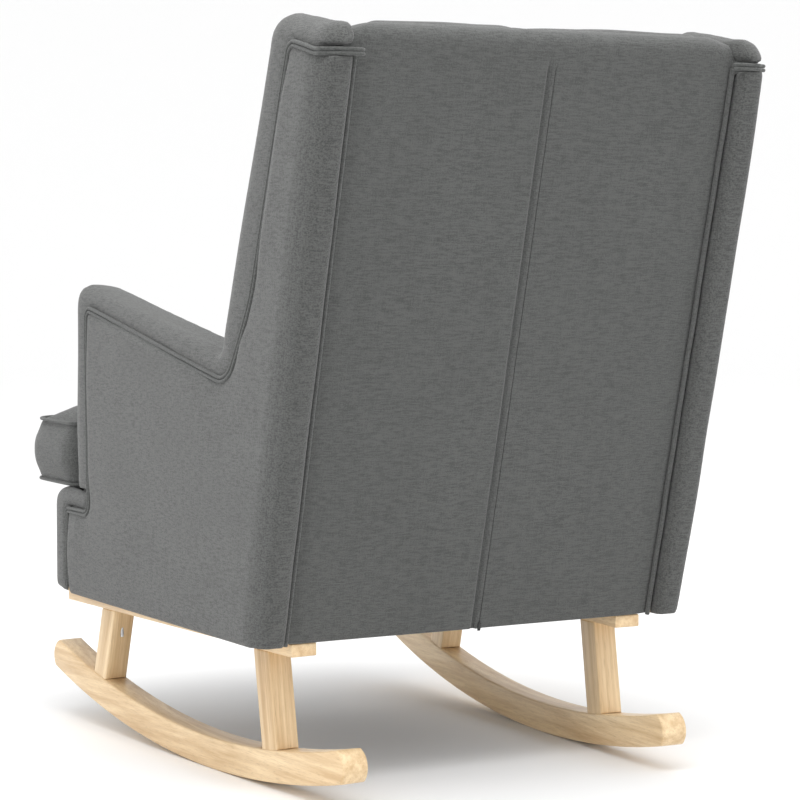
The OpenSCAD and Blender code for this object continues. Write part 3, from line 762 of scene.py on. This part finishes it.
# ---------- Tack strip folds ----------
# Down each side of the outside back the cloth is turned over a tack strip, which leaves a
# narrow welt in the valley beside the rear roll. A folded end of cloth fills the top of it.
fold_radius, fold_x, fold_cuts = 0.0034, 0.2965, 40
fold_run = (0.985 - hem.z) / up_back.z
for side, sign in (("left", 1), ("right", -1)):
    fold = bmesh.new()
    start = hem + Vector((sign * fold_x, 0, 0)) + out_back * 0.0018
    bmesh.ops.create_cone(
        fold, cap_ends=True, segments=14, radius1=fold_radius, radius2=fold_radius, depth=fold_run,
        matrix=Matrix.Translation(start + up_back * (fold_run / 2))
        @ Matrix.Rotation(-recline, 4, "X"))
    for step in range(1, fold_cuts):
        bmesh.ops.bisect_plane(
            fold, geom=fold.verts[:] + fold.edges[:] + fold.faces[:], dist=1e-7,
            plane_co=start + up_back * (fold_run * step / fold_cuts), plane_no=up_back)
    bmesh.ops.create_cube(
        fold, size=1, matrix=Matrix.Translation((sign * 0.315, 0.473, 0.987))
        @ Matrix.Diagonal((0.036, 0.018, 0.018, 1)))
    for vert in fold.verts:
        wander = noise.noise(Vector((sign * 3, vert.co.z * 14, 0.5)))
        vert.co += out_back * (wander * 0.0008) + Vector((sign * wander * 0.0006, 0, 0))
    piece_from(fold, f"back_fold_{side}", back_cloth, "chair", "grey_cloth", sharp=60)


# ---------- Back zip ----------
# A coil zip sewn into the back behind the flap: a narrow woven tape with a spiral coil, and a
# small lacquered slider whose puller lies over the hem when the zip is shut.
tape_cloth = woven_cloth("zip_tape_cloth", (0.075, 0.078, 0.075, 1), (0.045, 0.047, 0.045, 1),
                         pitch=0.0008, depth=0.0002)
coil_pitch, tape_depth = 0.0024, 0.0008
across_x = Vector((1, 0, 0))


def zip_tape(name, low, across, along, out, length, width, node):
    """A tape with the coil's two rows of loops standing on it."""
    tape = bmesh.new()
    bmesh.ops.create_grid(tape, x_segments=4, y_segments=max(2, int(length / 0.02)), size=0.5)
    for vert in tape.verts:
        vert.co = low + across * (vert.co.x * width) + along * ((vert.co.y + 0.5) * length)
    thick = bmesh.ops.extrude_face_region(tape, geom=tape.faces[:])["geom"]
    bmesh.ops.translate(
        tape, vec=out * tape_depth, verts=[v for v in thick if isinstance(v, bmesh.types.BMVert)])
    bmesh.ops.recalc_face_normals(tape, faces=tape.faces)
    turn = Matrix((across, along, out)).transposed().to_4x4()
    size = Matrix.Diagonal((0.0020, coil_pitch * 0.42, 0.0009, 1))
    for index in range(int(length / coil_pitch) - 1):
        for half_side in (-1, 1):
            shift = (index + 0.5 * (half_side > 0)) * coil_pitch + coil_pitch
            centre = (low + along * shift + across * (half_side * 0.0007)
                      + out * (tape_depth + 0.0003))
            bmesh.ops.create_cube(tape, size=1.0, matrix=Matrix.Translation(centre) @ turn @ size)
    return piece_from(tape, name, tape_cloth, *node)


middle_x = (slit_x + crease_x) / 2
back_tape_width = 0.018
zip_tape("back_zip_coil", hem + Vector((middle_x, 0, 0)) - out_back * 0.004 + up_back * 0.001,
         across_x, up_back, out_back, zip_top - 0.004, back_tape_width,
         ("chair", "zip_tape", ["back_zip_tape"]))


def dark_lacquer():
    """Black lacquer on metal, worn to grey in small spots."""
    material, tree, shader = bare_material("dark_lacquer")
    coords = own_coords(tree)
    worn = stretched_noise(tree, coords, (700, 700, 700), 3)
    color = mixed(tree, scaled(tree, worn, 0.55, 0.75, 0, 0.7),
                  (0.035, 0.036, 0.036, 1), (0.22, 0.22, 0.21, 1))
    wire_finish(tree, shader, color, scaled(tree, worn, 0.3, 0.7, 0.3, 0.5), worn, 0.00005, 0.4)
    shader.inputs["Metallic"].default_value = 0.6
    return material


slider_paint = dark_lacquer()


def slider_block(made, size, centre, turn, ease):
    """One bevelled block of a slider, put where it goes."""
    fresh = bmesh.ops.create_cube(made, size=1.0, matrix=Matrix.Translation(centre) @ turn
                                  @ Matrix.Diagonal((*size, 1)))["verts"]
    edges = list({edge for vert in fresh for edge in vert.link_edges})
    bmesh.ops.bevel(made, geom=edges, offset=ease, offset_type="OFFSET", segments=2, profile=0.5,
                    affect="EDGES", clamp_overlap=True, material=-1)


back_turn = Matrix((across_x, up_back, out_back)).transposed().to_4x4()
slider = bmesh.new()
for size, x, up, out, ease in (
        ((0.0078, 0.014, 0.0018), middle_x, 0.009, -0.0014, 0.0004),
        ((0.0008, 0.006, 0.0034), slit_x + 0.0006, 0.008, 0.0008, 0.0003),
        ((0.0050, 0.013, 0.0012), slit_x + 0.001, 0.0045, 0.0030, 0.0005)):
    slider_block(
        slider, size, hem + Vector((x, 0, 0)) + up_back * up + out_back * out, back_turn, ease)
piece_from(slider, "zip_puller", slider_paint, "zip_slider", "zip_metal", ["back_zip_slider"])


# ---------- Dust cover ----------
# Black non-woven cloth stapled up under the seat, sagging a little between its edges.
dust_low, dust_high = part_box("dust_cover")
dust_size = (dust_high.x - dust_low.x, dust_high.y - dust_low.y)
dust_cloth = woven_cloth("dust_cloth", (0.03, 0.03, 0.032, 1), (0.012, 0.012, 0.013, 1),
                         pitch=0.002, depth=0.0002)
dust = bmesh.new()
bmesh.ops.create_grid(dust, x_segments=30, y_segments=40, size=0.5)
dust_middle = (dust_low + dust_high) / 2
for vert in dust.verts:
    u, v = vert.co.x * 2, vert.co.y * 2
    sag = 0.004 * (1 - u * u) * (1 - v * v) + 0.0008 * noise.noise(Vector((u * 6, v * 6, 0)))
    vert.co = Vector((dust_middle.x + u / 2 * dust_size[0], dust_middle.y + v / 2 * dust_size[1],
                      dust_low.z + 0.0004 - sag * (1 - max(abs(u), abs(v)) ** 8)))
dust_sheet = piece_from(dust, "dust_sheet", dust_cloth, "chair", "dust_cloth",
                        ["dust_cover"], sharp=180)
walled(dust_sheet, 0.0005, 1)


# ---------- Seat cushion ----------
# A loose T-shaped foam cushion with a boxed border, crowned above and below, piped round both
# edges. Its foam core is cut to the same shape, and a zip closes the rear of the border.
core = soft_start(["cushion_core"], 0.009, 2, 0.004)
foam, foam_tree, foam_shader = bare_material("cut_foam")
foam_coords = own_coords(foam_tree)
cells = node_of(foam_tree, "TexVoronoi", {"Vector": foam_coords, "Scale": 900.0})["Distance"]
foam_color = mixed(foam_tree, scaled(foam_tree, cells, 0.1, 0.6, 0, 1),
                   (0.80, 0.74, 0.55, 1), (0.62, 0.55, 0.36, 1))
wire_finish(foam_tree, foam_shader, foam_color,
            scaled(foam_tree, cells, 0, 0.6, 0.85, 1), cells, 0.0004, 0.6)
core_piece = piece_from(core, "cushion_foam", foam, "seat_cushion", "foam",
                        ["cushion_core"], sharp=180)

cushion_cloth = woven_cloth("cushion_cloth", (0.099, 0.102, 0.099, 1), (0.050, 0.052, 0.050, 1))
piping_spots = node_spots("cushion_piping")
case = stuffed(soft_start(["cushion_cover", "cushion_core"], 0.0085, 1, 0.0), 0.012,
               held=lambda point: piping_spots.find(point)[2] < 0.009)
sewn_reach = 0.011
for vert in case.verts:
    loose = 1 - math.exp(-piping_spots.find(vert.co)[2] / 0.010)
    vert.co += vert.normal * (noise.noise(vert.co * 9) * 0.0016 * loose)
    spot, _, gap = piping_spots.find(vert.co)
    if gap < sewn_reach:
        vert.co = vert.co.lerp(spot, 0.8 * (1 - gap / sewn_reach))
case_piece = piece_from(case, "cushion_case", cushion_cloth, "seat_cushion", "grey_cloth",
                        ["cushion_cover"], sharp=180)
finer(case_piece)
round_cord("cushion_piping", "cushion_cords", "seat_cushion")


# ---------- Cushion zip ----------
# A coil zip along the rear of the border, with a small lacquered slider at one end.
seat_tape_low, seat_tape_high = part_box("cushion_zip_tape")
seat_tape = seat_tape_high - seat_tape_low
zip_tape("cushion_zip_coil",
         Vector((seat_tape_low.x, seat_tape_low.y, (seat_tape_low.z + seat_tape_high.z) / 2)),
         Vector((0, 0, 1)), across_x, Vector((0, 1, 0)), seat_tape.x, seat_tape.z,
         ("seat_cushion", "zip_tape", ["cushion_zip_tape"]))
puller_low, puller_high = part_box("cushion_zip_slider")
middle = (puller_low + puller_high) / 2
puller = bmesh.new()
straight = Matrix.Identity(4)
slider_block(puller, (0.013, 0.0013, 0.008), middle + Vector((0, -0.0004, 0)), straight, 0.0005)
slider_block(puller, (0.004, 0.0012, 0.004), middle + Vector((0.002, 0.0006, 0)), straight, 0.0003)
piece_from(puller, "cushion_puller", slider_paint, "cushion_slider", "zip_metal",
           ["cushion_zip_slider"])
